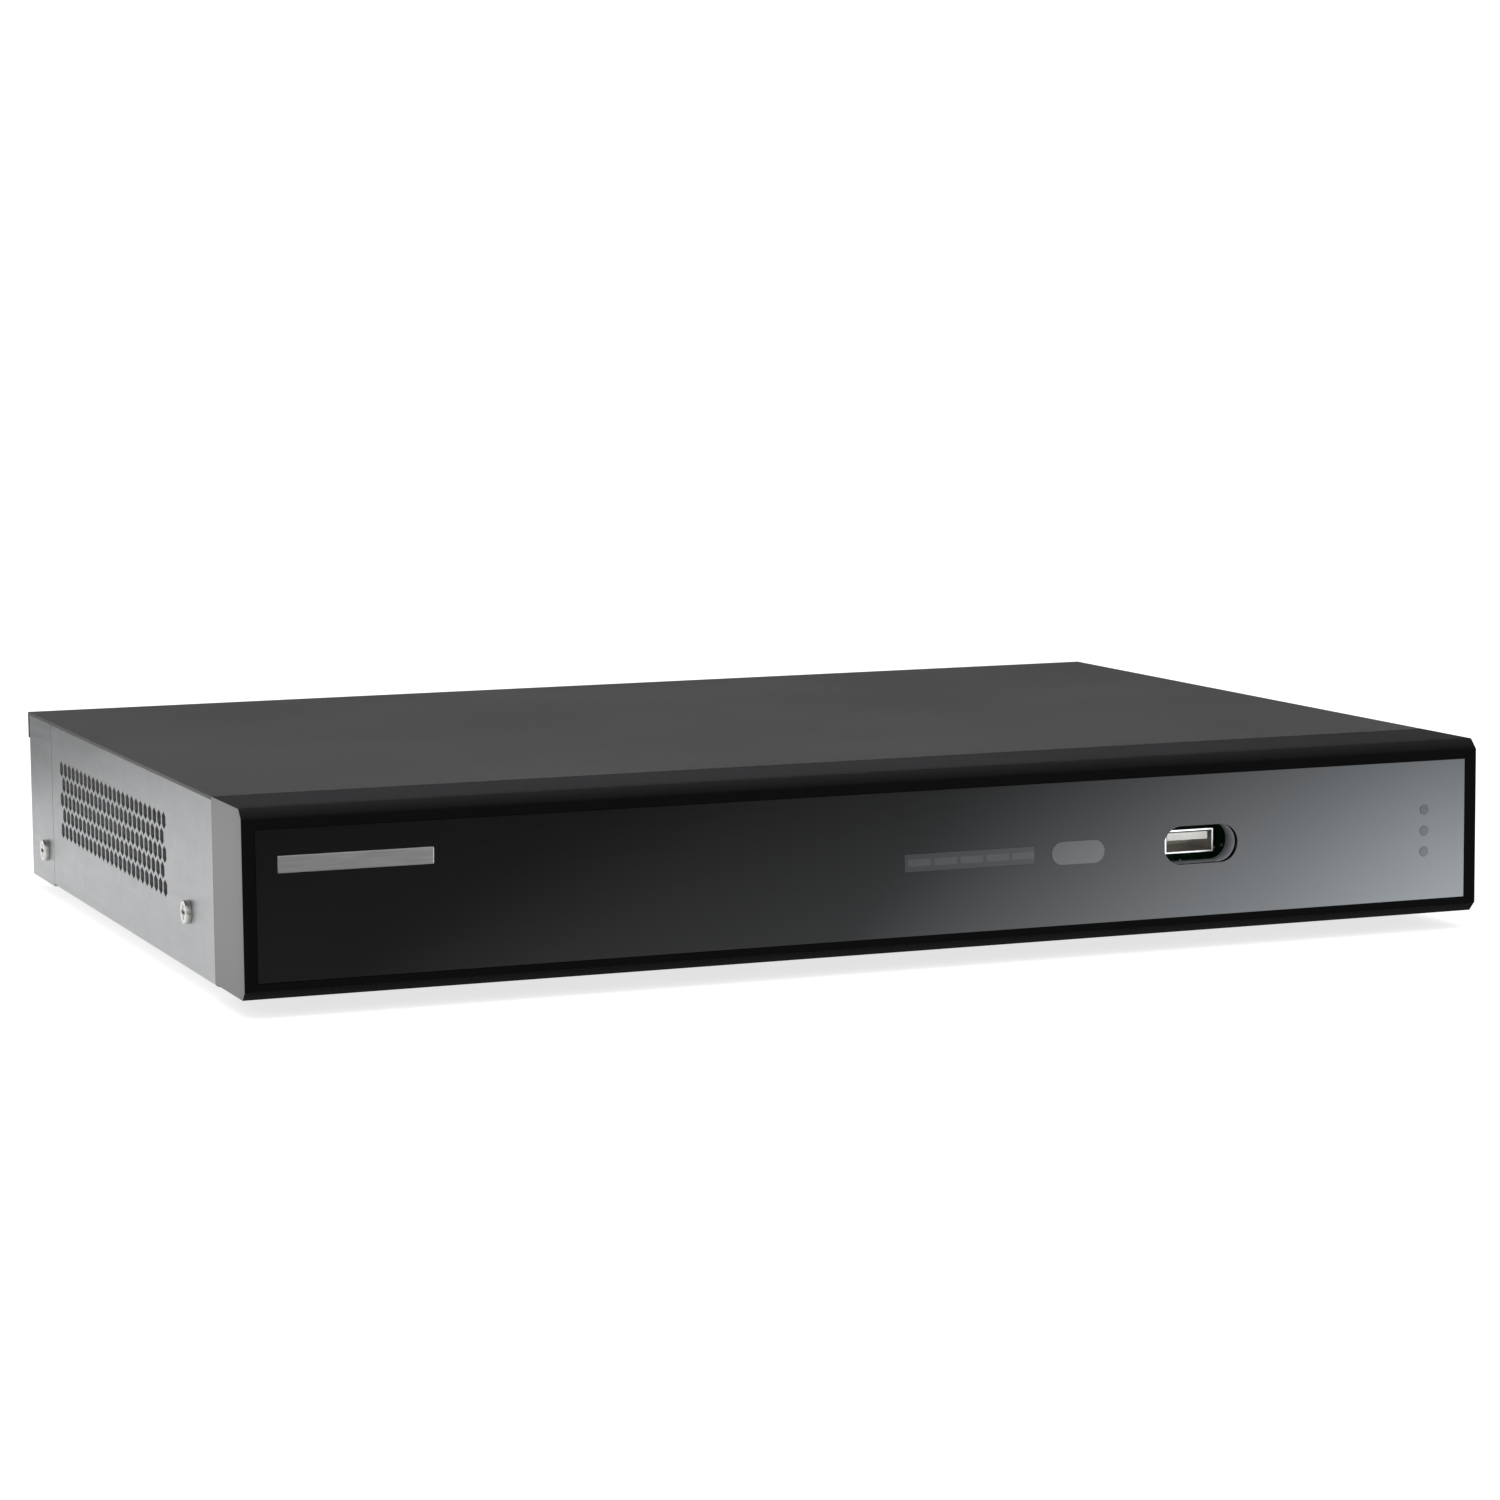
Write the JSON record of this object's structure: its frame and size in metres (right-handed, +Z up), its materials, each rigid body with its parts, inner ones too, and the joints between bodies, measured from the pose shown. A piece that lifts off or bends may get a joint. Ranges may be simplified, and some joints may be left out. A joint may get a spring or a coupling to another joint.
{
  "type": "video recorder",
  "caption": "Compact digital video recorder: low wide steel case with vented sides, black top, gloss black front, front port, and rear video, audio, display and network sockets.",
  "frame": {"origin": "on the standing surface, under the middle of the box that the whole recorder fills", "axes": "+X across the case to the viewer's right from the front, +Y from the front face to the rear sockets, +Z up"},
  "size_m": [0.318, 0.24, 0.0475],
  "materials": {
    "zinc_steel": "zinc-coated sheet steel, satin",
    "black_coat": "fine-textured black powder coat, matte",
    "bezel_plastic": "moulded black, satin",
    "gloss_black": "high-gloss black",
    "satin_silver": "satin silver",
    "print_grey": "dull dark grey",
    "dark_lens": "dark infrared-clear gloss",
    "clear_plastic": "clear moulding",
    "foot_rubber": "black rubber",
    "screw_steel": "nickel-plated",
    "board_laminate": "green solder mask",
    "led_plastic": "clear and dark resin",
    "socket_steel": "tinned steel",
    "white_plastic": "white moulding",
    "socket_brass": "bare brass",
    "chip_resin": "moulded resin",
    "can_sleeve": "dark sleeve, bare top",
    "sink_aluminium": "bare aluminium",
    "black_plastic": "black moulding",
    "lead_sheath": "soft sheath",
    "cell_steel": "polished steel",
    "header_plastic": "ivory moulding",
    "ribbon_sheath": "grey ribbon",
    "drive_casting": "die-cast, satin",
    "drive_lid": "bright sheet",
    "disc_mirror": "mirror finish",
    "socket_nickel": "bright nickel plate",
    "contact_gold": "gold-plated",
    "blue_plastic": "blue moulding",
    "green_plastic": "green moulding",
    "rocker_plastic": "black moulding"
  },
  "bodies": {
    "case": {"base_tray": "zinc_steel", "rear_panel": "zinc_steel", "top_cover": "black_coat", "front_bezel": "bezel_plastic", "front_fascia": "gloss_black", "nameplate": "satin_silver", "legend_plate": "print_grey", "ir_window": "dark_lens", "status_light_pipes": "clear_plastic", "rubber_feet": "foot_rubber", "underside_screws": "screw_steel", "side_screws": "screw_steel", "cover_screws": "screw_steel", "front_board": "board_laminate", "leds_and_receiver": "led_plastic", "usb_shells": "socket_steel", "usb_inserts": "white_plastic", "main_board": "board_laminate", "board_standoffs": "socket_brass", "board_screws": "screw_steel", "processor": "chip_resin", "board_chips": "chip_resin", "power_parts": "can_sleeve", "heatsink": "sink_aluminium", "fan_frame": "black_plastic", "fan_lead": "lead_sheath", "coin_cell_holder": "black_plastic", "coin_cell": "cell_steel", "board_sockets": "header_plastic", "drive_leads": "lead_sheath", "drive_plugs": "black_plastic", "front_ribbon": "ribbon_sheath", "hdd_casting": "drive_casting", "hdd_lid": "drive_lid", "hdd_lid_screws": "screw_steel", "hdd_board": "board_laminate", "hdd_magnets": "socket_steel", "bnc_housings": "black_plastic", "bnc_barrels": "socket_nickel", "bnc_insulators": "white_plastic", "bnc_contacts": "contact_gold", "rca_housing": "black_plastic", "rca_sleeves": "socket_nickel", "vga_shell": "socket_steel", "vga_insert": "blue_plastic", "vga_jacknuts": "socket_nickel", "hdmi_shell": "socket_steel", "hdmi_tongue": "black_plastic", "lan_shell": "socket_steel", "lan_insert": "black_plastic", "terminal_header": "green_plastic", "supply_jack": "black_plastic", "switch_housing": "black_plastic", "ground_screw": "screw_steel"},
    "rocker": {"power_rocker": "rocker_plastic"},
    "fan": {"fan_rotor": "black_plastic"},
    "discs": {"hdd_discs": "disc_mirror"},
    "arms": {"hdd_arms": "sink_aluminium"},
    "plug": {"terminal_plug": "green_plastic", "terminal_screws": "screw_steel"}
  },
  "joints": [
    {"name": "rocker_tilt", "type": "hinge", "parent": "case", "child": "rocker", "pos_m": [-0.1155, 0.102, 0.0255], "axis": [-1, 0, 0], "range_deg": [0, 18]},
    {"name": "fan_spin", "type": "hinge", "parent": "case", "child": "fan", "pos_m": [0.062, 0.0532, 0.0213], "axis": [0, 0, 1], "continuous": true},
    {"name": "disc_spin", "type": "hinge", "parent": "case", "child": "discs", "pos_m": [-0.098, -0.0392, 0.02], "axis": [0, 0, 1], "continuous": true},
    {"name": "arm_swing", "type": "hinge", "parent": "case", "child": "arms", "pos_m": [-0.034, -0.0592, 0.02], "axis": [0, 0, 1], "range_deg": [0, 36]},
    {"name": "terminal_pull", "type": "slide", "parent": "case", "child": "plug", "axis": [0, 1, 0], "range_m": [0, 0.012]}
  ]
}
